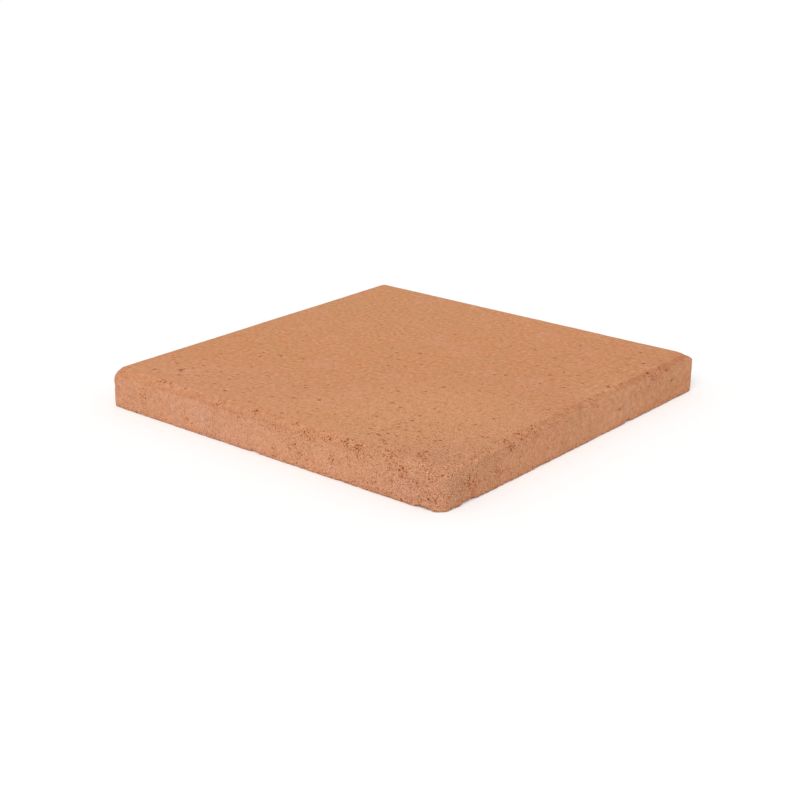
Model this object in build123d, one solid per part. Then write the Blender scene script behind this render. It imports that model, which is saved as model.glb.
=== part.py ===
from build123d import *
from math import atan2, degrees
import os

# Square concrete paving slab, dry-pressed in one piece.
# Frame: millimetres, +Z up, origin at the centre of the bed face that lies on the ground.

# Driving dimensions of the slab
SIDE = 400.0  # edge to edge, the true size of a nominal 16 in slab
THICKNESS = 38.0  # bed face to walking face, 1 1/2 in
CORNER_RADIUS = 10.0  # upright corners, as the mould box leaves them

# Border of the walking face, as the press head leaves it
BEVEL_WIDTH = 7.5  # across, from its foot to where its plane meets the face
BEVEL_DROP = 3.5  # from the face down to its foot
RIM_WIDTH = 0.8  # flat rim left by the gap between the head and the mould wall
CREST_RADIUS = 6.5  # soft turn from the face into the bevel

# Broken edges of the moulded block
RIM_ARRIS = 0.4  # above the upright sides
BED_ARRIS = 0.8  # around the bed face

RIM_HEIGHT = THICKNESS - BEVEL_DROP
BEVEL_LEAN = degrees(atan2(BEVEL_WIDTH, BEVEL_DROP))  # of the bevel, away from upright
LEVEL_TOLERANCE = 0.001
NODE = "paving_slab"


def plan(inset):
    """The slab's rounded square in plan, set in from the mould walls."""
    side = SIDE - 2 * inset
    return RectangleRounded(side, side, CORNER_RADIUS - inset)


def edges_at(height, part):
    """The edges that lie level at one height."""
    return part.edges().filter_by_position(
        Axis.Z, height - LEVEL_TOLERANCE, height + LEVEL_TOLERANCE
    )


def moulded_block():
    """What the mould box shapes: upright sides and round corners, up to the rim."""
    block = extrude(plan(inset=0), RIM_HEIGHT)
    block = fillet(edges_at(RIM_HEIGHT, block), RIM_ARRIS)
    return fillet(edges_at(0, block), BED_ARRIS)


def pressed_crown():
    """What the press head shapes: a low frustum, bevelled on every side."""
    foot = Pos(0, 0, RIM_HEIGHT) * plan(inset=RIM_WIDTH)
    crown = extrude(foot, BEVEL_DROP, taper=BEVEL_LEAN)
    return fillet(edges_at(THICKNESS, crown), CREST_RADIUS)


slab = moulded_block() + pressed_crown()
slab.label = NODE

os.makedirs("parts", exist_ok=True)
export_step(slab, f"parts/{NODE}.step")
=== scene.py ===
import math

import bpy
import numpy as np
from mathutils import Matrix, Vector
from mathutils.kdtree import KDTree


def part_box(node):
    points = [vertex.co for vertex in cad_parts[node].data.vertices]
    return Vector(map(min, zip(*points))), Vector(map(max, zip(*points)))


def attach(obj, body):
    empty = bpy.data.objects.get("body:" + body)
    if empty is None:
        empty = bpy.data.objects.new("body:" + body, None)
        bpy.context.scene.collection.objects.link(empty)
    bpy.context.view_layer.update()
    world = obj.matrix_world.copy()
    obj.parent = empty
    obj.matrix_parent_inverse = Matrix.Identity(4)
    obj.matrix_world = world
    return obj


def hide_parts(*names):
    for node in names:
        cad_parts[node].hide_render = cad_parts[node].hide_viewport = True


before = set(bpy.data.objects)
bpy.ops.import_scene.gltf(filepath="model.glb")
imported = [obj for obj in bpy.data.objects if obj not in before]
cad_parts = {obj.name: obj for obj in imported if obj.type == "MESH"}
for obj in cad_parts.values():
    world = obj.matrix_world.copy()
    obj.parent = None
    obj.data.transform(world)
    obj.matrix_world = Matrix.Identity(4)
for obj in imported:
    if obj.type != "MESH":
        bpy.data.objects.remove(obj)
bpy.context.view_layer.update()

# The slab's size, read from the frame. The slab is worked out in millimetres, and its mesh is in metres.
MM = 0.001
low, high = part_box("paving_slab")
HALF = (high[0] - low[0]) / 2 / MM
THICKNESS = (high[2] - low[2]) / MM

# The slab's border, as the mould and the press head leave it
CORNER_RADIUS = 10.0
BEVEL_WIDTH = 7.5
BEVEL_DROP = 3.5
RIM_WIDTH = 0.8
CREST_RADIUS = 6.5
RIM_ARRIS = 0.4
BED_ARRIS = 0.8
RIM_HEIGHT = THICKNESS - BEVEL_DROP

# Heights over which one part of the slab gives way to the next
ABOVE_BED = (0.3, 1.5)
BED_TO_WALL = (0.5, 2.0)
LOWER_EDGE_TO_WALL = (2.0, 7.0)
WALL_TO_CROWN = (28.0, 35.0)
WALL_TO_BORDER = (30.0, 34.0)
WALL_TO_FACE = (32.0, 36.0)

# The left and right sides differ in look, and fade into each other while x + y is within this of 0
SIDE_FADE = 30.0

# The corners, by their place in the photograph
FRONT_CORNER = (HALF, -HALF)
LEFT_CORNER = (-HALF, -HALF)
RIGHT_CORNER = (HALF, HALF)
BACK_CORNER = (-HALF, HALF)

# The mesh: the spacing of its points at first, and the triangles left once it is thinned out
FINE_STEP = 0.8
TRIANGLES = 195_000

# The camera, fitted to the slab's outline in the photograph
VIEW_AZIMUTH = math.radians(39.55)
VIEW_ELEVATION = math.radians(19.77)
VIEW_ROLL = math.radians(0.29)
VIEW_DISTANCE = 1503.0
SLAB_RIGHT_OF_AXIS = 7.2
SLAB_ABOVE_AXIS = 2.7
LENS = 70.0
SENSOR = 36.0


def make_camera():
    """Sets the camera where the photograph was taken from."""
    back = Vector((
        math.sin(VIEW_AZIMUTH) * math.cos(VIEW_ELEVATION),
        -math.cos(VIEW_AZIMUTH) * math.cos(VIEW_ELEVATION),
        math.sin(VIEW_ELEVATION),
    ))
    level = Vector((math.cos(VIEW_AZIMUTH), math.sin(VIEW_AZIMUTH), 0.0))
    upright = back.cross(level)
    right = math.cos(VIEW_ROLL) * level + math.sin(VIEW_ROLL) * upright
    up = math.cos(VIEW_ROLL) * upright - math.sin(VIEW_ROLL) * level
    place = back * VIEW_DISTANCE - right * SLAB_RIGHT_OF_AXIS - up * SLAB_ABOVE_AXIS
    data = bpy.data.cameras.new("camera")
    data.lens = LENS
    data.sensor_width = SENSOR
    camera = bpy.data.objects.new("camera", data)
    turn = Matrix((right, up, back)).transposed().to_4x4()
    camera.matrix_world = Matrix.Translation(place * MM) @ turn
    bpy.context.scene.collection.objects.link(camera)
    bpy.context.scene.camera = camera


make_camera()


# Numbers that vary over space, so that relief looks grown and not drawn
SKEW = np.array(Matrix.Rotation(0.6, 3, (0.3, 1.0, 0.5)), dtype=np.float32)
TABLE_SIZE = 64


def lumps(points, size, seed):
    """Soft noise from -1 to 1 whose lumps are about `size` across."""
    table = np.random.default_rng(seed).random((TABLE_SIZE,) * 3, dtype=np.float32)
    place = points.astype(np.float32) @ SKEW / size
    cell = np.floor(place).astype(np.int32)
    part = place - cell
    part = part * part * (3 - 2 * part)
    total = np.zeros(len(points), dtype=np.float32)
    for corner in np.ndindex(2, 2, 2):
        weight = np.prod(np.where(corner, part, 1 - part), axis=1)
        at = (cell + corner) % TABLE_SIZE
        total += weight * table[at[:, 0], at[:, 1], at[:, 2]]
    return total * 2 - 1


def rough(points, size, seed, octaves=3):
    """Noise with finer and finer lumps, from about -1 to 1."""
    total = np.zeros(len(points), dtype=np.float32)
    for octave in range(octaves):
        total += lumps(points, size / 2**octave, seed + octave) / 1.7**octave
    return total / 1.6


def ramp(value, start, end):
    """0 at start and 1 at end, with soft ends."""
    part = np.clip((value - start) / (end - start), 0, 1)
    return part * part * (3 - 2 * part)


# The plain form of the slab
def crown_height(inset):
    """Height of the pressed side, by distance from the mould wall."""
    lean = math.atan2(BEVEL_DROP, BEVEL_WIDTH)
    tangent = CREST_RADIUS * math.tan(lean / 2)
    crest_start = RIM_WIDTH + BEVEL_WIDTH - tangent * math.cos(lean)
    crest_end = RIM_WIDTH + BEVEL_WIDTH + tangent
    from_arris = np.clip(RIM_ARRIS - inset, 0, None)
    rim = RIM_HEIGHT - RIM_ARRIS + np.sqrt(RIM_ARRIS**2 - from_arris**2)
    bevel = RIM_HEIGHT + (inset - RIM_WIDTH) * math.tan(lean)
    from_face = np.clip(crest_end - inset, 0, CREST_RADIUS)
    crest = THICKNESS - CREST_RADIUS + np.sqrt(CREST_RADIUS**2 - from_face**2)
    return np.select([inset > crest_start, inset > RIM_WIDTH], [crest, bevel], rim)


def bed_height(inset):
    """Height of the bed side, whose edge is slightly broken."""
    from_arris = np.clip(BED_ARRIS - inset, 0, None)
    return BED_ARRIS - np.sqrt(BED_ARRIS**2 - from_arris**2)


def grid_lines():
    """Where the mesh lines cross the slab, closer together over the narrow rim."""
    arris = RIM_ARRIS * np.array([0.0, 0.15, 0.5, 1.0])
    inner = np.arange(RIM_WIDTH + FINE_STEP, HALF, FINE_STEP)
    insets = np.concatenate([arris, [RIM_WIDTH], inner])
    return np.concatenate([insets - HALF, [0.0], (HALF - insets)[::-1]])


def plan_of(across, along):
    """Turns points of a square into points of the slab's plan, with its round corners."""
    straight = HALF - CORNER_RADIUS
    past_x = np.clip(np.abs(across) - straight, 0, None)
    past_y = np.clip(np.abs(along) - straight, 0, None)
    far = np.maximum(past_x, past_y)
    near = np.minimum(past_x, past_y)
    turn = math.pi / 4 * near / np.maximum(far, 1e-9)
    angle = np.where(past_x >= past_y, turn, math.pi / 2 - turn)
    x = np.where(near > 0, np.sign(across) * (straight + far * np.cos(angle)), across)
    y = np.where(near > 0, np.sign(along) * (straight + far * np.sin(angle)), along)
    return x, y


def sheet_of(lines, height_of):
    """Points of the crown or of the bed, over the whole plan."""
    across, along = np.meshgrid(lines, lines, indexing="ij")
    inset = HALF - np.maximum(np.abs(across), np.abs(along))
    x, y = plan_of(across, along)
    return np.stack([x, y, height_of(inset)], axis=-1).reshape(-1, 3)


def border_of(numbers):
    """The border of a square of point numbers, counter-clockwise."""
    return np.concatenate([numbers[:-1, 0], numbers[-1, :-1], numbers[:0:-1, -1], numbers[0, :0:-1]])


def quads_of(rows):
    """Quads between neighbouring rows and columns of point numbers."""
    corners = [rows[:-1, :-1], rows[1:, :-1], rows[1:, 1:], rows[:-1, 1:]]
    return np.stack(corners, axis=-1).reshape(-1, 4)


def plain_slab():
    """Points and quads of the slab before its relief: crown, bed, and walls between them."""
    lines = grid_lines()
    count = len(lines)
    crown = sheet_of(lines, crown_height)
    bed = sheet_of(lines, bed_height)
    crown_at = np.arange(count * count).reshape(count, count)
    bed_at = crown_at + count * count
    border = border_of(crown_at)
    rim_edge = crown[border]
    steps = round((rim_edge[0, 2] - BED_ARRIS) / FINE_STEP)
    heights = np.linspace(BED_ARRIS, rim_edge[0, 2], steps + 1)[1:-1]
    walls = [np.column_stack([rim_edge[:, :2], np.full(len(border), height)]) for height in heights]
    wall_at = np.arange(len(heights) * len(border)).reshape(len(heights), -1) + 2 * count * count
    ring = np.vstack([border_of(bed_at), wall_at, border])
    ring = np.hstack([ring, ring[:, :1]])
    points = np.concatenate([crown, bed, *walls])
    quads = np.concatenate([quads_of(crown_at), quads_of(bed_at.T), quads_of(ring)[:, ::-1]])
    return points, quads


def mesh_of(name, points, quads):
    """A mesh from points in millimetres and quads of point numbers."""
    mesh = bpy.data.meshes.new(name)
    mesh.vertices.add(len(points))
    mesh.vertices.foreach_set("co", (points * MM).astype(np.float32).ravel())
    mesh.loops.add(quads.size)
    mesh.loops.foreach_set("vertex_index", quads.astype(np.int32).ravel())
    mesh.polygons.add(len(quads))
    mesh.polygons.foreach_set("loop_start", np.arange(0, quads.size, 4, dtype=np.int32))
    mesh.update(calc_edges=True)
    return mesh


# Wear that is cut off by planes
def shave(points, direction, reach, softness):
    """Presses in whatever stands further out than `reach` along a direction."""
    direction = np.asarray(direction, dtype=float)
    direction = direction / np.linalg.norm(direction)
    over = (points @ direction - reach) / softness
    depth = softness * np.logaddexp(0, over)
    return points - direction * depth[:, None]


# How far each corner is worn back from its sharp point, how steeply, and how softly
CROWN_WEAR = (
    (LEFT_CORNER, 9.0, 1.25, 1.2),
    (RIGHT_CORNER, 6.0, 1.15, 1.2),
    (FRONT_CORNER, 4.5, 1.1, 4.0),
    (BACK_CORNER, 3.0, 1.3, 1.2),
)
FOOT_WEAR = (
    (LEFT_CORNER, 3.4, -0.8, 1.0),
    (RIGHT_CORNER, 4.2, -0.8, 1.2),
    (FRONT_CORNER, 2.4, -0.8, 1.3),
    (BACK_CORNER, 3.6, -0.8, 2.5),
)


def wear_corners(points):
    """Rounds off the slab's corners, where dry concrete breaks away first."""
    ragged = rough(points, 7.0, seed=31) * 0.7
    for height, table in ((THICKNESS, CROWN_WEAR), (0.0, FOOT_WEAR)):
        for (x, y), depth, steepness, softness in table:
            direction = np.array([np.sign(x), np.sign(y), steepness * math.sqrt(2)])
            direction = direction / np.linalg.norm(direction)
            reach = direction @ (x, y, height) - depth + ragged
            points = shave(points, direction, reach, softness)
    return points


# Chips out of the crown that the photograph shows: place, reach, depth
CROWN_CHIPS = (
    ((191, 196), 9, 1.1),
    ((-196, -190), 7, 0.8),
)


def chip_crown(points):
    """Lowers the crown where a piece broke off its border."""
    for (x, y), reach, depth in CROWN_CHIPS:
        away = np.hypot(points[:, 0] - x, points[:, 1] - y)
        lowered = depth * (1 - ramp(away, reach / 2, reach)) * ramp(points[:, 2], *WALL_TO_CROWN)
        points = points - lowered[:, None] * (0, 0, 1)
    return points


# Chips out of the lower edge that the photograph shows: place, length along the edge, depth
CHIPS = (
    ((-10, -200), 6, 1.4),
    ((181, -200), 13, 1.8),
    ((200, -164), 14, 2.2),
    ((200, -184), 9, 1.2),
    ((200, 78), 6, 1.6),
)


def wear_bed_edge(points):
    """Chips along the lower edge of all four sides."""
    loss = 0.6 + np.clip(rough(points, 9.0, seed=41), 0, None) * 1.6 + lumps(points, 2.5, seed=45) * 0.5
    for (x, y), length, depth in CHIPS:
        away = np.hypot(points[:, 0] - x, points[:, 1] - y)
        loss = loss + depth * (1 - ramp(away, length / 3, length))
    for x, y in ((1, 0), (-1, 0), (0, 1), (0, -1)):
        direction = np.array([x, y, -1.0]) / math.sqrt(2)
        points = shave(points, direction, HALF / math.sqrt(2) - loss, softness=0.25)
    return points


# Crumbly patches that the photograph shows: place, reach, number of pits
CRUMBLY = (
    ((108, -199, 36), 10, 24),
    ((94, -198, 37), 6, 10),
    ((141, -194, 36), 8, 18),
    ((165, -182, 37), 9, 18),
    ((-55, -196, 36), 6, 9),
    ((-13, -194, 37), 6, 9),
    ((51, -196, 36), 7, 10),
    ((75, -196, 36), 6, 8),
    ((-135, -193, 37), 7, 12),
    ((35, -195, 37), 5, 6),
    ((-185, -196, 35), 6, 10),
    ((-96, -200, 10), 5, 8),
    ((-155, -200, 22), 7, 10),
    ((82, -200, 18), 5, 10),
    ((157, -200, 28), 7, 12),
    ((197, 119, 36), 8, 26),
    ((197, 132, 36), 6, 12),
    ((196, 65, 36), 6, 13),
    ((195, 20, 36), 10, 12),
    ((192, -10, 36), 9, 14),
    ((199, -47, 36), 5, 8),
    ((199, -69, 36), 9, 24),
    ((197, -90, 36), 8, 22),
    ((193, -113, 37), 7, 18),
    ((200, -107, 33), 6, 14),
    ((200, 63, 17), 3, 5),
    ((200, -160, 14), 12, 21),
    ((200, -124, 14), 6, 12),
)

# Stretches of the walking face with more pits than elsewhere: place, reach, number
SPECKLED = (
    ((-160, -162), 42, 30),
    ((-110, -150), 40, 14),
    ((185, 60), 45, 14),
    ((120, -150), 50, 34),
)


# The front corner, where too little concrete reached the mould
POORLY_FILLED = (15.0, 100.0)
ROLL_DEPTH = 1.0
ROLL_SOFTNESS = 3.2
UPRIGHT_DEPTH = 0.4
UPRIGHT_SOFTNESS = 4.0
ROLL_CLEARANCE = 12.0


def from_front_corner(points):
    """How far points lie from the front corner, in plan."""
    return np.hypot(points[:, 0] - FRONT_CORNER[0], points[:, 1] - FRONT_CORNER[1])


def poor_filling(points):
    """How badly the mould was filled at the front corner, from 0 to 1."""
    return 1 - ramp(from_front_corner(points) + rough(points, 30.0, seed=51) * 20, *POORLY_FILLED)


def roll_front_edges(points, poor):
    """Turns the bevel and the upright corner into soft rolls where the mould was badly filled."""
    spared = ROLL_CLEARANCE * (1 - poor)
    bevel = (HALF + RIM_HEIGHT) / math.sqrt(2) - ROLL_DEPTH * poor + spared
    for x, y in ((1, 0), (0, -1)):
        points = shave(points, (x, y, 1.0), bevel, ROLL_SOFTNESS)
    upright = (HALF - CORNER_RADIUS) * math.sqrt(2) + CORNER_RADIUS - UPRIGHT_DEPTH * poor + spared
    return shave(points, (1.0, -1.0, 0.0), upright, UPRIGHT_SOFTNESS)


def crumble(points):
    """How crumbly the concrete is near the patches where it broke up, from 0 to 1."""
    most = np.zeros(len(points))
    for place, reach, _ in CRUMBLY:
        away = np.linalg.norm(points - place, axis=1)
        most = np.maximum(most, 1 - ramp(away, 0.3 * reach, 1.1 * reach))
    return most * (0.7 + 0.3 * lumps(points, 4.0, seed=55))


# Distances from the front corner between which the texture closes up
OPEN_TEXTURE = (30.0, 300.0)

# The border whose texture is more open than the face: its middle, and how far it fades to each side
OPEN_BORDER_MIDDLE = 4.0
OPEN_BORDER_FADE = (3.0, 8.0)


def open_texture(points, poor, crumbly):
    """How open the concrete's texture is: 0 where it is pressed smooth, 1 where it crumbles."""
    x, y, z = points.T
    near = 1 - ramp(from_front_corner(points), *OPEN_TEXTURE)
    face = 0.10 + 0.45 * near
    right_is_smoother = 1 - 0.35 * ramp(x + y, -SIDE_FADE, SIDE_FADE)
    wall = (0.36 + 0.30 * near) * right_is_smoother * (1 - ramp(z, *WALL_TO_FACE))
    inset = HALF - np.maximum(np.abs(x), np.abs(y))
    off_border = ramp(np.abs(inset - OPEN_BORDER_MIDDLE), *OPEN_BORDER_FADE)
    border = 0.22 * (1 - off_border) * ramp(z, *WALL_TO_BORDER)
    patches = ramp(lumps(points, 28.0, seed=53), -0.2, 0.7)
    lower_edge = 0.3 * (1 - ramp(z, *LOWER_EDGE_TO_WALL))
    bed = 1 - ramp(z, *BED_TO_WALL)
    level = np.maximum(face, wall * (0.7 + 0.5 * patches)) + border * (0.4 + 0.6 * patches) + lower_edge
    level = np.maximum(np.maximum(level, 0.75 * poor), 0.8 * bed)
    return np.clip(level + 0.35 * crumbly, 0, 1)


# How far from both walls the upright corners begin to be ragged, and are wholly so
RAGGED_FROM = 14.0
RAGGED_WITHIN = 5.0


def undulation(points, texture):
    """Depth of the broad and the small waves, the relief of the grains and the ragged upright corners."""
    broad = 0.18 + 0.18 * rough(points, 70.0, seed=61)
    small = 0.06 + 0.06 * lumps(points, 9.0, seed=65)
    grains = texture * (0.04 + 0.04 * rough(points, 2.0, seed=67))
    at_corner = ramp(np.abs(points[:, :2]).min(axis=1), HALF - RAGGED_FROM, HALF - RAGGED_WITHIN)
    ragged = at_corner * np.clip(rough(points, 6.0, seed=69), 0, None)
    return broad + (small + grains + ragged) * ramp(points[:, 2], *ABOVE_BED)


# Pits that the photograph shows: place, radius, depth
PITS = (
    ((-57, -152, 38), 1.8, 0.5),
    ((-51, -154, 38), 1.7, 0.6),
    ((-57, -158, 38), 2.0, 0.8),
    ((-52, -160, 38), 1.6, 0.7),
    ((-67, -192, 38), 1.6, 0.6),
    ((158, -75, 38), 1.9, 0.7),
    ((126, -124, 38), 1.5, 0.6),
    ((11, -138, 38), 2.2, 0.8),
    ((103, -89, 38), 2.0, 0.8),
    ((126, -180, 38), 1.9, 0.9),
    ((48, -33, 38), 1.9, 0.7),
    ((9, -63, 38), 1.6, 0.7),
    ((105, -25, 38), 1.8, 0.7),
    ((155, -146, 38), 2.0, 0.8),
    ((103, 99, 38), 2.1, 0.8),
    ((168, 126, 38), 2.2, 0.9),
    ((185, 157, 38), 2.0, 0.8),
    ((158, 167, 38), 2.0, 0.8),
    ((-143, -53, 38), 2.2, 0.8),
    ((-132, -172, 38), 1.9, 0.8),
    ((181, -115, 38), 1.9, 0.9),
    ((192, 142, 36), 1.3, 1.4),
    ((147, -200, 17), 1.2, 1.0),
    ((170, -200, 23), 1.2, 1.0),
    ((12, -200, 10), 1.1, 0.9),
    ((39, -200, 21), 1.2, 0.9),
    ((192, -200, 10), 1.2, 1.0),
    ((121, -200, 7), 1.1, 0.9),
    ((200, 155, 21), 1.4, 1.2),
    ((200, 146, 35), 2.2, 1.8),
    ((200, 138, 28), 1.0, 0.8),
    ((200, -7, 4), 1.1, 1.0),
    ((200, -53, 22), 1.0, 0.8),
    ((200, -164, 22), 1.1, 0.9),
    ((200, -127, 17), 1.1, 0.9),
)

# Ring-shaped marks that the photograph shows: place, radius, depth
RINGS = (
    ((29, -175, 38), 4.6, 0.5),
    ((129, -162, 38), 3.6, 0.4),
    ((82, -200, 18), 3.6, 0.3),
)

# Small pits at random: over the whole slab, over its walking face, and in the crumbly patches
SCATTERED_PITS = 280
SCATTERED_RADII = (0.6, 1.5)
FACE_PITS = 260
FACE_RADII = (1.2, 2.3)
CRUMBLY_RADII = (0.6, 1.2)

# A pit's rim, from its floor to the plain surface, in shares of its radius, and how far ragged rims reach
PIT_RIM = (0.3, 1.2)
PIT_REACH = 1.8

# A ring's groove, from its deepest line to the plain surface
RING_GROOVE = (0.4, 1.4)


def ring_depth(points):
    """Depth of the ring-shaped marks, each broken along its round."""
    broken = 0.5 + 0.5 * lumps(points, 3.0, seed=73)
    depth = np.zeros(len(points))
    for place, radius, deep in RINGS:
        away = np.linalg.norm(points - place, axis=1)
        depth += deep * broken * (1 - ramp(np.abs(away - radius), *RING_GROOVE))
    return depth


def scattered_pits(points, texture):
    """Small pits at random, thicker where the texture is open."""
    chance = np.random.default_rng(81)
    least, greatest = SCATTERED_RADII
    odds = 0.06 + texture**2
    chosen = chance.choice(len(points), SCATTERED_PITS, replace=False, p=odds / odds.sum())
    for place in points[chosen].tolist():
        radius = min(least + 0.25 * chance.exponential(), greatest)
        yield place, radius, radius * chance.uniform(0.3, 0.6)


def face_pits():
    """Small shallow pits at random over the walking face, fainter towards the back."""
    chance = np.random.default_rng(83)
    least, greatest = FACE_RADII
    reach = HALF - RIM_WIDTH - BEVEL_WIDTH
    places = [chance.uniform(-reach, reach, (FACE_PITS, 2))]
    places += [chance.normal(middle, spread / 2, (number, 2)) for middle, spread, number in SPECKLED]
    for x, y in np.clip(np.concatenate(places), -reach, reach).tolist():
        radius = min(least + 0.35 * chance.exponential(), greatest)
        plainness = 0.4 + 0.6 * ramp(x - y, -250, 50)
        yield (x, y, THICKNESS), radius, plainness * chance.uniform(0.6, 1.2)


def crumbly_pits():
    """The small pits of the crumbly patches, at random about their middles."""
    chance = np.random.default_rng(82)
    for middle, reach, number in CRUMBLY:
        for place in chance.normal(middle, reach / 2, (number, 3)).tolist():
            radius = chance.uniform(*CRUMBLY_RADII)
            yield place, radius, radius * chance.uniform(0.4, 0.8)


def pit_depth(points, pits):
    """Depth of the pits at every point, each with a ragged outline."""
    tree = KDTree(len(points))
    for number, point in enumerate(points.tolist()):
        tree.insert(point, number)
    tree.balance()
    depth = np.zeros(len(points))
    ragged = 1 + rough(points, 2.6, seed=71, octaves=2) * 0.7
    for place, radius, deep in pits:
        nearest = tree.find(place)[0]
        found = tree.find_range(nearest, radius * PIT_REACH)
        at = np.array([number for _, number, _ in found])
        away = np.array([distance for _, _, distance in found]) / radius
        bowl = 1 - ramp(away * ragged[at], *PIT_RIM)
        depth[at] = np.maximum(depth[at], deep * bowl)
    return depth


# How deep under the surface the core lies that relief is pressed towards
CORE_DEPTH = 8.0


def press_in(points, depth):
    """Moves points towards the slab's core, so that narrow edges never fold over."""
    reach = np.array([HALF - CORE_DEPTH, HALF - CORE_DEPTH, THICKNESS / 2 - CORE_DEPTH])
    middle = np.array([0.0, 0.0, THICKNESS / 2])
    core = np.clip(points - middle, -reach, reach) + middle
    outward = points - core
    outward /= np.linalg.norm(outward, axis=1, keepdims=True)
    return points - outward * depth[:, None]


def thin_out(slab):
    """Spends the triangles where the relief is, and few on the flat stretches."""
    modifier = slab.modifiers.new("thin_out", "DECIMATE")
    modifier.ratio = TRIANGLES / (2 * len(slab.data.polygons))
    graph = bpy.context.evaluated_depsgraph_get()
    dense = slab.data
    slab.data = bpy.data.meshes.new_from_object(slab.evaluated_get(graph))
    slab.modifiers.clear()
    bpy.data.meshes.remove(dense)
    slab.data.name = slab.name
    slab.data.shade_smooth()


def keep_on_points(mesh, name, values):
    """Stores one number for each point, for the material to read."""
    mesh.attributes.new(name, "FLOAT", "POINT").data.foreach_set("value", values.astype(np.float32))


def make_slab():
    """The pressed slab as one closed mesh, standing for the plain CAD solid."""
    points, quads = plain_slab()
    poor = poor_filling(points)
    crumbly = crumble(points)
    texture = open_texture(points, poor, crumbly)
    every_pit = [*PITS, *crumbly_pits(), *face_pits(), *scattered_pits(points, texture)]
    pits = pit_depth(points, every_pit) + ring_depth(points)
    points = roll_front_edges(points, poor)
    points = press_in(points, undulation(points, texture) + pits)
    points = wear_bed_edge(chip_crown(wear_corners(points)))
    points[:, 2] = np.clip(points[:, 2], 0, THICKNESS)
    mesh = mesh_of("pressed_slab", points, quads)
    keep_on_points(mesh, "poor", poor)
    keep_on_points(mesh, "texture", texture)
    keep_on_points(mesh, "crumbly", crumbly)
    keep_on_points(mesh, "pit", np.clip(pits, 0, 1))
    slab = bpy.data.objects.new("pressed_slab", mesh)
    bpy.context.scene.collection.objects.link(slab)
    thin_out(slab)
    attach(slab, "root")
    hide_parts("paving_slab")
    return slab


slab = make_slab()


# Materials
def tone(red, green, blue):
    """A colour given from 0 to 255 as a screen shows it, in the renderer's linear scale."""
    parts = np.array([red, green, blue]) / 255
    linear = np.where(parts <= 0.04045, parts / 12.92, ((parts + 0.055) / 1.055) ** 2.4)
    return (*linear.tolist(), 1.0)


class Nodes:
    """Adds nodes to one tree by short calls. An input is a number, a colour or another node's output."""

    def __init__(self, tree):
        self.tree = tree

    def add(self, kind, inputs=(), **settings):
        """A new node, with its settings and with its inputs by name or number."""
        node = self.tree.nodes.new(kind)
        for name, value in settings.items():
            setattr(node, name, value)
        for name, value in dict(inputs).items():
            self.feed(node.inputs[name], value)
        return node

    def feed(self, socket, value):
        """Links a socket to another node's output, or sets it to a plain value."""
        if isinstance(value, bpy.types.NodeSocket):
            self.tree.links.new(value, socket)
        else:
            socket.default_value = value

    def group(self, tree, inputs):
        """Places a node group, and gives its outputs."""
        return self.add("ShaderNodeGroup", inputs, node_tree=tree).outputs

    def math(self, operation, *values):
        """The result of one operation on numbers."""
        return self.add("ShaderNodeMath", enumerate(values), operation=operation).outputs[0]

    def vector(self, operation, *values):
        """The result of one operation on vectors."""
        return self.add("ShaderNodeVectorMath", enumerate(values), operation=operation).outputs[0]

    def ramp(self, value, start, end, low=0.0, high=1.0):
        """A soft step from low at start to high at end."""
        inputs = {"Value": value, "From Min": start, "From Max": end, "To Min": low, "To Max": high}
        return self.add("ShaderNodeMapRange", inputs, interpolation_type="SMOOTHSTEP").outputs["Result"]

    def blend(self, share, first, second):
        """A colour that goes from first to second as the share goes from 0 to 1."""
        inputs = {"Factor": share, "A": first, "B": second}
        return self.add("ShaderNodeMix", inputs, data_type="RGBA", clamp_factor=True).outputs["Result"]

    def noise(self, place, size, detail=2.0):
        """Soft noise from 0 to 1 whose lumps are about `size` across."""
        inputs = {"Vector": place, "Scale": 1 / size, "Detail": detail}
        return self.add("ShaderNodeTexNoise", inputs).outputs["Fac"]

    def attribute(self, name):
        """A number that the mesh keeps on its points."""
        return self.add("ShaderNodeAttribute", attribute_name=name).outputs["Fac"]


def new_group(name, inputs, outputs):
    """A shader node group with named numbers and vectors going in and out."""
    tree = bpy.data.node_groups.new(name, "ShaderNodeTree")
    kinds = {"number": "NodeSocketFloat", "vector": "NodeSocketVector"}
    for direction, sockets in (("INPUT", inputs), ("OUTPUT", outputs)):
        for socket, kind in sockets.items():
            tree.interface.new_socket(socket, in_out=direction, socket_type=kinds[kind])
    nodes = Nodes(tree)
    return tree, nodes, nodes.add("NodeGroupInput").outputs, nodes.add("NodeGroupOutput").inputs


def sand_grains():
    """Sand grains of about one size: each grain's own shade and hue, and the gaps between them."""
    tree, nodes, given, result = new_group(
        "sand_grains",
        {"Place": "vector", "Size": "number"},
        {"Shade": "number", "Hue": "number", "Gap": "number", "Height": "number"},
    )
    wobble = nodes.add("ShaderNodeTexNoise", {"Vector": given["Place"], "Scale": 0.8, "Detail": 1.0})
    shift = nodes.vector("SUBTRACT", wobble.outputs["Color"], (0.5, 0.5, 0.5))
    place = nodes.vector("ADD", given["Place"], shift)
    scale = nodes.math("DIVIDE", 1.0, given["Size"])
    cells = nodes.add("ShaderNodeTexVoronoi", {"Vector": place, "Scale": scale})
    pick = nodes.add("ShaderNodeSeparateColor", {"Color": cells.outputs["Color"]}).outputs
    away = cells.outputs["Distance"]
    nodes.feed(result["Shade"], pick["Red"])
    nodes.feed(result["Hue"], pick["Green"])
    nodes.feed(result["Gap"], nodes.ramp(away, 0.4, 0.75))
    nodes.feed(result["Height"], nodes.math("MULTIPLY", nodes.ramp(away, 0.8, 0.1), pick["Blue"]))
    return tree


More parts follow.
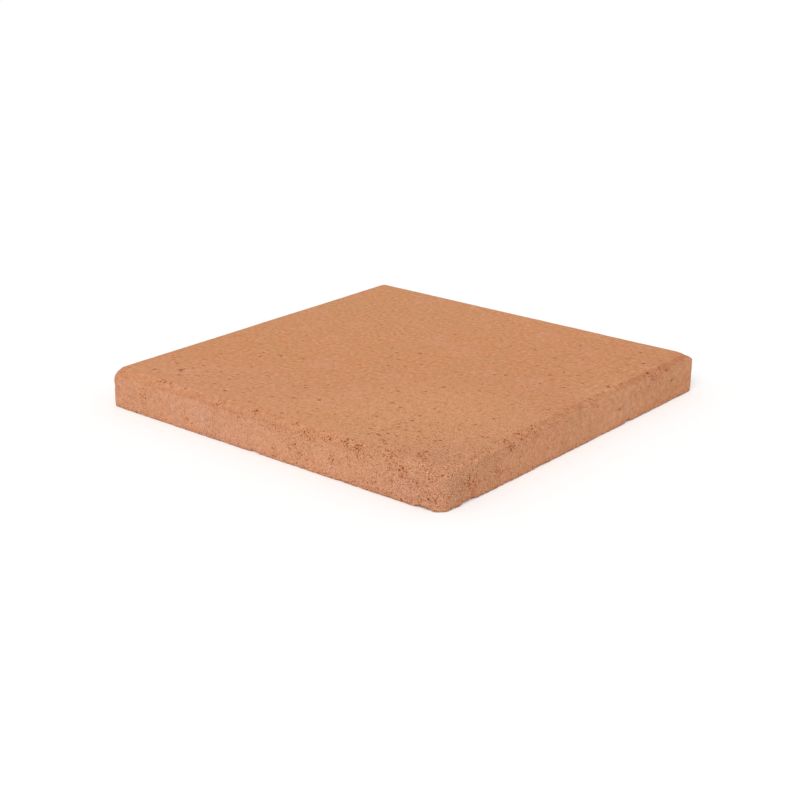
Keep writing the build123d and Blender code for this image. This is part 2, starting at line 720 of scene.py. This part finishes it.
def ragged_flecks():
    """Flecks with ragged outlines, which cover more where the texture is open."""
    tree, nodes, given, result = new_group(
        "ragged_flecks",
        {"Place": "vector", "Size": "number", "Texture": "number"},
        {"Fleck": "number"},
    )
    scale = nodes.math("DIVIDE", 1.0, given["Size"])
    inputs = {"Vector": given["Place"], "Scale": scale, "Detail": 2.0, "Roughness": 0.6}
    value = nodes.add("ShaderNodeTexNoise", inputs).outputs["Fac"]
    start = nodes.math("MULTIPLY_ADD", given["Texture"], -0.08, 0.69)
    end = nodes.math("ADD", start, 0.10)
    nodes.feed(result["Fleck"], nodes.ramp(value, start, end))
    return tree


def soft_spot():
    """A soft patch about a chosen place."""
    tree, nodes, given, result = new_group(
        "soft_spot", {"Place": "vector", "Centre": "vector", "Reach": "number"}, {"Patch": "number"}
    )
    apart = nodes.vector("SUBTRACT", given["Place"], given["Centre"])
    away = nodes.add("ShaderNodeVectorMath", {0: apart}, operation="LENGTH").outputs["Value"]
    nodes.feed(result["Patch"], nodes.ramp(nodes.math("DIVIDE", away, given["Reach"]), 1.0, 0.2))
    return tree


# The slab's colours
FACE = tone(205, 139, 94)
# The bevelled band's darker tone is partly its own and partly painted shade of the bevel, heavier on the
# right
LEFT_BAND = tone(194, 125, 83)
RIGHT_BAND = tone(171, 106, 68)
LEFT_WALL = tone(213, 152, 121)
RIGHT_WALL = tone(209, 147, 108)
# A darker wall tone: painted shade at the walls' foot and towards the right corner of the walking face, and
# darker stains in places
WALL_SHADE_AND_STAIN = tone(182, 122, 82)
# A pale tone: a painted highlight along the right side's rim, and pale patches on the walls
RIM_HIGHLIGHT_AND_PALE_PATCH = tone(216, 158, 118)
# A pale tone, used as painted light on the front of the walking face
PAINTED_FACE_LIGHT = tone(224, 158, 108)
# A dark tone: painted shade over the right side's bevelled band, and worn spots by the right corner
BAND_SHADE_AND_WEAR = tone(168, 105, 67)
PALE_SAND = tone(232, 181, 141)
DARK_SAND = tone(168, 98, 62)
RED_SAND = tone(206, 118, 68)
GREY_SAND = tone(190, 156, 132)
RUST = tone(176, 92, 54)
# Painted shade in pores, in pits and in holes left by fallen grains
PIT_SHADE = tone(126, 66, 40)
# Painted shade: the dark line along the lower edges, where the slab meets the floor
EDGE_SHADE = tone(102, 72, 60)

# Tints that the photograph shows in places
PINK = tone(212, 152, 122)
OLIVE = tone(196, 145, 100)
ORANGE = tone(224, 134, 78)
LILAC = tone(200, 144, 120)
MOSS = tone(186, 142, 104)
SALT = tone(216, 178, 170)

# Where they lie, with patches of painted light and painted shade among them: tint, place, reach, strength
TINTED = (
    (SALT, (-77, -200, 15), 16, 0.25),
    (SALT, (82, -200, 12), 10, 0.35),
    (SALT, (160, -200, 14), 13, 0.4),
    (SALT, (171, -200, 3), 5, 0.6),
    (ORANGE, (-120, -200, 3), 12, 0.4),
    (ORANGE, (-88, -200, 3), 10, 0.5),
    (ORANGE, (-20, -200, 3), 9, 0.4),
    (ORANGE, (60, -200, 4), 8, 0.4),
    (WALL_SHADE_AND_STAIN, (198, -188, 12), 26, 0.2),
    (RIGHT_WALL, (-160, -198, 37), 90, 0.7),
    (BAND_SHADE_AND_WEAR, (198, 120, 36), 11, 0.5),
    (BAND_SHADE_AND_WEAR, (197, 150, 36), 11, 0.5),
    (BAND_SHADE_AND_WEAR, (195, 178, 36), 12, 0.4),
    (RIM_HIGHLIGHT_AND_PALE_PATCH, (200, -85, 24), 60, 0.2),
    (LILAC, (140, -200, 20), 40, 0.5),
    (LILAC, (176, -200, 12), 30, 0.55),
    (MOSS, (160, -158, 38), 28, 0.6),
    (MOSS, (188, -128, 36), 22, 0.75),
    (MOSS, (200, -140, 26), 26, 0.65),
    (MOSS, (200, -170, 14), 22, 0.4),
    # Painted shade: the walking face and right side darker towards the right corner
    (WALL_SHADE_AND_STAIN, (190, 120, 38), 220, 0.2),
    (WALL_SHADE_AND_STAIN, (200, 160, 18), 80, 0.2),
    (OLIVE, (-150, 150, 38), 200, 0.3),
    (PINK, (-60, -180, 38), 120, 0.3),
    (RIM_HIGHLIGHT_AND_PALE_PATCH, (200, 50, 22), 60, 0.45),
    # Painted light: the front of the walking face paler
    (PAINTED_FACE_LIGHT, (120, -120, 38), 130, 0.8),
    (PAINTED_FACE_LIGHT, (40, -170, 38), 90, 0.4),
    (RIM_HIGHLIGHT_AND_PALE_PATCH, (110, -200, 18), 60, 0.3),
    (WALL_SHADE_AND_STAIN, (-140, -200, 25), 40, 0.15),
)

# Marks drawn down the walls as the mould lifted: tint, place, reach across, strength
DRAWN = (
    (SALT, (-115, -200, 13), 4.5, 0.2),
    (SALT, (-74, -200, 18), 4.5, 0.2),
    (SALT, (-178, -200, 22), 3.0, 0.15),
    (SALT, (200, 76, 14), 2.2, 0.6),
    (DARK_SAND, (200, 69, 17), 3.0, 0.25),
    (RED_SAND, (200, -127, 17), 2.6, 0.5),
    (SALT, (200, -123, 13), 2.0, 0.4),
    (DARK_SAND, (60, -200, 12), 2.0, 0.3),
)
DRAWN_SHORTER = (1.0, 1.0, 0.16)


# Insets from the walls between which one broad colour turns into the next
BAND_TO_FACE = (6.5, 9.5)
BED_TO_SHADED_EDGE = (8.0, 4.0)

# Heights between which it does so, where the band turns into the wall about its own foot
WALL_TO_SHADED_EDGE = (3.0, 1.0)
WALL_TO_SHADED_FOOT = (7.5, 2.0)
BAND_FOOT_LEFT = 31.5
BAND_FOOT_RIGHT = 34.3
BAND_TO_WALL = (1.2, -1.4)

# Strips along the right side, a painted highlight along the rim and painted shade over the bevelled band:
# tint, height of the lower and of the upper border, fading ends, strength
STRIPS = (
    (RIM_HIGHLIGHT_AND_PALE_PATCH, (32.0, 33.0), (34.6, 33.6), (80.0, 40.0), 0.85),
    (BAND_SHADE_AND_WEAR, (34.3, 34.8), (37.2, 36.0), (100.0, 60.0), 0.7),
)
STRIP_MIDDLE = 50.0


def wall_colour(nodes, height, right):
    """The walls, with painted shade towards their foot, more so on the right."""
    wall = nodes.blend(right, LEFT_WALL, RIGHT_WALL)
    foot_shade = nodes.math("MULTIPLY_ADD", right, 0.5, 0.15)
    return nodes.blend(nodes.math("MULTIPLY", nodes.ramp(height, *WALL_TO_SHADED_FOOT), foot_shade), wall, WALL_SHADE_AND_STAIN)


def lay_strips(nodes, y, z, right, colour):
    """A painted highlight along the rim and painted shade over the bevelled band, along the right side."""
    from_middle = nodes.math("ABSOLUTE", nodes.math("SUBTRACT", y, STRIP_MIDDLE))
    for tint, lower, upper, ends, strength in STRIPS:
        across = nodes.math("MULTIPLY", nodes.ramp(z, *lower), nodes.ramp(z, *upper))
        along = nodes.math("MULTIPLY", right, nodes.ramp(from_middle, *ends, 0.0, strength))
        colour = nodes.blend(nodes.math("MULTIPLY", across, along), colour, tint)
    return colour


def zone_colour(nodes, place, uneven, poor):
    """The broad colours of the walking face, the bevelled band and the walls, with ragged borders."""
    x, y, z = nodes.add("ShaderNodeSeparateXYZ", {"Vector": place}).outputs
    reach = nodes.math("MAXIMUM", nodes.math("ABSOLUTE", x), nodes.math("ABSOLUTE", y))
    ragged = nodes.math("MULTIPLY_ADD", uneven, 5.0, -2.5)
    inset = nodes.math("ADD", nodes.math("SUBTRACT", HALF, reach), ragged)
    height = nodes.math("ADD", z, ragged)
    right = nodes.ramp(nodes.math("ADD", x, y), -SIDE_FADE, SIDE_FADE)

    # The band's colour: partly its own tone, partly painted shade of the bevel, heavier on the right
    band = nodes.blend(right, LEFT_BAND, RIGHT_BAND)
    band = nodes.blend(nodes.math("MULTIPLY", poor, 0.85), band, FACE)
    colour = nodes.blend(nodes.ramp(inset, *BAND_TO_FACE), band, FACE)
    band_foot = nodes.math("MULTIPLY_ADD", right, BAND_FOOT_RIGHT - BAND_FOOT_LEFT, BAND_FOOT_LEFT)
    on_wall = nodes.ramp(nodes.math("SUBTRACT", height, band_foot), *BAND_TO_WALL)
    colour = nodes.blend(on_wall, colour, wall_colour(nodes, height, right))
    colour = lay_strips(nodes, y, z, right, colour)
    colour = nodes.blend(nodes.math("MULTIPLY", poor, 0.43), colour, GREY_SAND)
    # Painted shade along the lower edges, where the slab meets the floor
    edge_shade = nodes.ramp(z, *WALL_TO_SHADED_EDGE, 0.0, 0.4)
    edge_shade = nodes.math("MULTIPLY", edge_shade, nodes.ramp(inset, *BED_TO_SHADED_EDGE))
    return nodes.blend(edge_shade, colour, EDGE_SHADE)


def mottle(nodes, place, colour):
    """Clouds of tint and the faint streaks that the mould drew down the walls."""
    clouds = nodes.noise(place, 38.0)
    colour = nodes.blend(nodes.ramp(clouds, 0.5, 0.75, 0.0, 0.5), colour, PINK)
    colour = nodes.blend(nodes.ramp(clouds, 0.5, 0.25, 0.0, 0.5), colour, OLIVE)
    hues = nodes.noise(place, 13.0)
    colour = nodes.blend(nodes.ramp(hues, 0.5, 0.7, 0.0, 0.16), colour, RED_SAND)
    colour = nodes.blend(nodes.ramp(hues, 0.5, 0.3, 0.0, 0.35), colour, OLIVE)
    streaks = nodes.noise(nodes.vector("MULTIPLY", place, DRAWN_SHORTER), 5.0)
    colour = nodes.blend(nodes.ramp(streaks, 0.5, 0.75, 0.0, 0.12), colour, PALE_SAND)
    return nodes.blend(nodes.ramp(streaks, 0.5, 0.25, 0.0, 0.12), colour, DARK_SAND)


def stain_and_light(nodes, place, uneven, colour):
    """The tinted places, painted light and painted shade among them, and the drawn marks of this slab, one
    by one.
    """
    spots = soft_spot()
    for tint, centre, reach, strength in TINTED:
        patch = nodes.group(spots, {"Place": place, "Centre": centre, "Reach": reach})["Patch"]
        share = nodes.math("MULTIPLY", patch, nodes.ramp(uneven, 0.3, 0.7, 0.4 * strength, strength))
        colour = nodes.blend(share, colour, tint)
    drawn_down = nodes.vector("MULTIPLY", place, DRAWN_SHORTER)
    for tint, centre, reach, strength in DRAWN:
        centre = np.multiply(centre, DRAWN_SHORTER)
        patch = nodes.group(spots, {"Place": drawn_down, "Centre": centre, "Reach": reach})["Patch"]
        colour = nodes.blend(nodes.math("MULTIPLY", patch, strength), colour, tint)
    return colour


# The sizes of what makes up the concrete
PASTE_LUMP = 4.2
FINE_GRAIN = 0.75
COARSE_GRAIN = 1.0
CRUMB = 1.3
PORE = 1.1
RUSTY_FLECK = 2.8

# The share of grains and crumbs that have fallen out, and how much denser rusty flecks lie than pores
MISSING_GRAINS = 0.035
MISSING_CRUMBS = 0.1
RUSTY_DENSER = 0.8

# The height from which rusty flecks thin out towards the walking face
FLECKS_THIN_OUT = 34.0

# Kinds of sand: the number that tells them, where the kind begins and is pure, its colour, its strength
SANDS = (
    ("Shade", 0.7, 1.0, PALE_SAND, 0.85),
    ("Shade", 0.35, 0.0, DARK_SAND, 1.0),
    ("Hue", 0.75, 1.0, RED_SAND, 0.4),
    ("Hue", 0.25, 0.0, GREY_SAND, 0.4),
    ("Gap", 0.2, 1.0, DARK_SAND, 0.5),
)


def redden_crumbs(nodes, place, crumbly, colour):
    """Fresh, brighter concrete where it crumbles, fainter on the far half of the right side."""
    x, y, _ = nodes.add("ShaderNodeSeparateXYZ", {"Vector": place}).outputs
    brighter = nodes.ramp(nodes.math("MINIMUM", x, y), 20.0, -40.0, 0.3, 0.7)
    return nodes.blend(nodes.math("MULTIPLY", crumbly, brighter), colour, ORANGE)


def blend_paste(nodes, paste, texture, poor, colour):
    """Soft lumps of cement paste, and a paler tone where the texture is open."""
    # Less pale where the mould was badly filled: painted shade on the front corner, whose roll faces the
    # light
    paler = nodes.math("MULTIPLY_ADD", poor, -0.15, nodes.math("MULTIPLY", texture, 0.42))
    colour = nodes.blend(paler, colour, PALE_SAND)
    strength = nodes.math("MULTIPLY_ADD", texture, -0.3, 0.4)
    pale = nodes.math("MULTIPLY", nodes.ramp(paste, 0.5, 0.75), strength)
    dark = nodes.math("MULTIPLY", nodes.ramp(paste, 0.5, 0.25), strength)
    colour = nodes.blend(pale, colour, PALE_SAND)
    return nodes.blend(dark, colour, DARK_SAND)


def blend_sand(nodes, place, sand, grains, texture, crumbly, colour):
    """Single grains of sand, and painted shade in the holes where grains and crumbs have fallen out."""
    strength = nodes.math("MULTIPLY_ADD", texture, 1.3, 0.03)
    for part, begins, pure, tint, most in SANDS:
        share = nodes.math("MULTIPLY", nodes.ramp(grains[part], begins, pure, 0.0, most), strength)
        colour = nodes.blend(share, colour, tint)
    coarse = nodes.group(sand, {"Place": place, "Size": COARSE_GRAIN})["Shade"]
    missing = nodes.math("LESS_THAN", coarse, MISSING_GRAINS)
    colour = nodes.blend(nodes.math("MULTIPLY", missing, strength), colour, PIT_SHADE)
    crumbs = nodes.group(sand, {"Place": place, "Size": CRUMB})["Shade"]
    missing = nodes.math("LESS_THAN", crumbs, nodes.math("MULTIPLY", crumbly, MISSING_CRUMBS))
    return nodes.blend(missing, colour, PIT_SHADE)


def blend_pits(nodes, place, rusty, pores, pit, colour):
    """Rusty flecks, fewer on the walking face, then painted shade in open pores, then in the pits of the
    mesh.
    """
    _, _, z = nodes.add("ShaderNodeSeparateXYZ", {"Vector": place}).outputs
    share = nodes.ramp(z, FLECKS_THIN_OUT, THICKNESS, 0.42, 0.2)
    colour = nodes.blend(nodes.math("MULTIPLY", rusty, share), colour, RUST)
    colour = nodes.blend(nodes.math("MULTIPLY", pores, 0.5), colour, PIT_SHADE)
    broken = nodes.ramp(nodes.noise(place, 1.6), 0.35, 0.6, 0.4, 1.0)
    return nodes.blend(nodes.math("MULTIPLY", nodes.ramp(pit, 0.05, 0.8, 0.0, 0.8), broken), colour, PIT_SHADE)


def fine_relief(nodes, paste, grains, pores, texture):
    """The relief that is too fine for the mesh."""
    sandy = nodes.math("MULTIPLY", grains["Height"], nodes.math("MULTIPLY_ADD", texture, 0.9, 0.1))
    height = nodes.math("MULTIPLY_ADD", paste, 0.5, sandy)
    height = nodes.math("SUBTRACT", height, nodes.math("MULTIPLY", pores, 0.4))
    bump = nodes.add("ShaderNodeBump", {"Height": height, "Distance": MM, "Strength": 0.6})
    return bump.outputs["Normal"]


def make_concrete():
    """Pigmented pressed concrete: sand grains in cement, open pores, stains, and painted light and shade."""
    material = bpy.data.materials.new("pressed_concrete")
    material.use_nodes = True
    shader = material.node_tree.nodes["Principled BSDF"]
    nodes = Nodes(material.node_tree)
    metres = nodes.add("ShaderNodeTexCoord").outputs["Object"]
    place = nodes.vector("MULTIPLY", metres, (1 / MM, 1 / MM, 1 / MM))
    poor, texture, crumbly, pit = [nodes.attribute(name) for name in ("poor", "texture", "crumbly", "pit")]
    sand = sand_grains()
    flecks = ragged_flecks()
    uneven = nodes.noise(place, 9.0, detail=3.0)
    paste = nodes.noise(place, PASTE_LUMP)
    grains = nodes.group(sand, {"Place": place, "Size": FINE_GRAIN})
    pores = nodes.group(flecks, {"Place": place, "Size": PORE, "Texture": texture})["Fleck"]
    denser = nodes.math("ADD", texture, RUSTY_DENSER)
    rusty = nodes.group(flecks, {"Place": place, "Size": RUSTY_FLECK, "Texture": denser})["Fleck"]

    colour = zone_colour(nodes, place, uneven, poor)
    colour = mottle(nodes, place, colour)
    colour = stain_and_light(nodes, place, uneven, colour)
    colour = redden_crumbs(nodes, place, crumbly, colour)
    colour = blend_paste(nodes, paste, texture, poor, colour)
    colour = blend_sand(nodes, place, sand, grains, texture, crumbly, colour)
    colour = blend_pits(nodes, place, rusty, pores, pit, colour)
    nodes.feed(shader.inputs["Base Color"], colour)
    nodes.feed(shader.inputs["Normal"], fine_relief(nodes, paste, grains, pores, texture))
    nodes.feed(shader.inputs["Roughness"], nodes.ramp(paste, 0.3, 0.7, 0.95, 0.85))
    shader.inputs["Specular IOR Level"].default_value = 0.2
    return material


slab.data.materials.append(make_concrete())


# The studio, in metres: a white floor and background, and soft light from the front left
WHITE = (1.0, 1.0, 1.0, 1.0)
FLOOR_REACH = 6.0
FLOOR_SHADE = 0.8
FLOOR_GLOW = 0.22
WORLD_LIGHT = 0.6
KEY_LIGHT = 0.584
KEY_SOFTNESS = math.radians(40)
KEY_TOWARD = Vector((0.21, -0.37, 0.4))


def seen_directly(nodes):
    """1 for what the camera sees, straight or in a gloss or through glass, and 0 for light on the slab."""
    rays = nodes.add("ShaderNodeLightPath").outputs
    gloss_or_glass = nodes.math("MAXIMUM", rays["Is Glossy Ray"], rays["Is Transmission Ray"])
    return nodes.math("MAXIMUM", rays["Is Camera Ray"], gloss_or_glass)


def make_floor():
    """A plain white floor, which keeps the slab's shadow."""
    reach = FLOOR_REACH
    mesh = bpy.data.meshes.new("floor")
    corners = [(-reach, -reach, 0), (reach, -reach, 0), (reach, reach, 0), (-reach, reach, 0)]
    mesh.from_pydata(corners, [], [(0, 1, 2, 3)])
    floor = bpy.data.objects.new("floor", mesh)
    bpy.context.scene.collection.objects.link(floor)
    material = bpy.data.materials.new("floor")
    material.use_nodes = True
    nodes = Nodes(material.node_tree)
    shader = material.node_tree.nodes["Principled BSDF"]
    shader.inputs["Base Color"].default_value = (FLOOR_SHADE, FLOOR_SHADE, FLOOR_SHADE, 1.0)
    shader.inputs["Roughness"].default_value = 1.0
    shader.inputs["Specular IOR Level"].default_value = 0.0
    shader.inputs["Emission Color"].default_value = WHITE
    nodes.feed(shader.inputs["Emission Strength"], nodes.math("MULTIPLY", seen_directly(nodes), FLOOR_GLOW))
    mesh.materials.append(material)


def make_lights():
    """An even white surround and one large soft key light."""
    world = bpy.data.worlds.new("studio")
    bpy.context.scene.world = world
    world.use_nodes = True
    nodes = Nodes(world.node_tree)
    surround = world.node_tree.nodes["Background"]
    surround.inputs["Color"].default_value = WHITE
    strength = nodes.ramp(seen_directly(nodes), 0.0, 1.0, WORLD_LIGHT, 1.0)
    nodes.feed(surround.inputs["Strength"], strength)
    light = bpy.data.lights.new("key", "SUN")
    light.angle = KEY_SOFTNESS
    light.energy = math.pi * KEY_LIGHT
    key = bpy.data.objects.new("key", light)
    key.rotation_euler = KEY_TOWARD.to_track_quat("Z", "Y").to_euler()
    bpy.context.scene.collection.objects.link(key)


make_floor()
make_lights()
bpy.context.scene.view_settings.view_transform = "Standard"
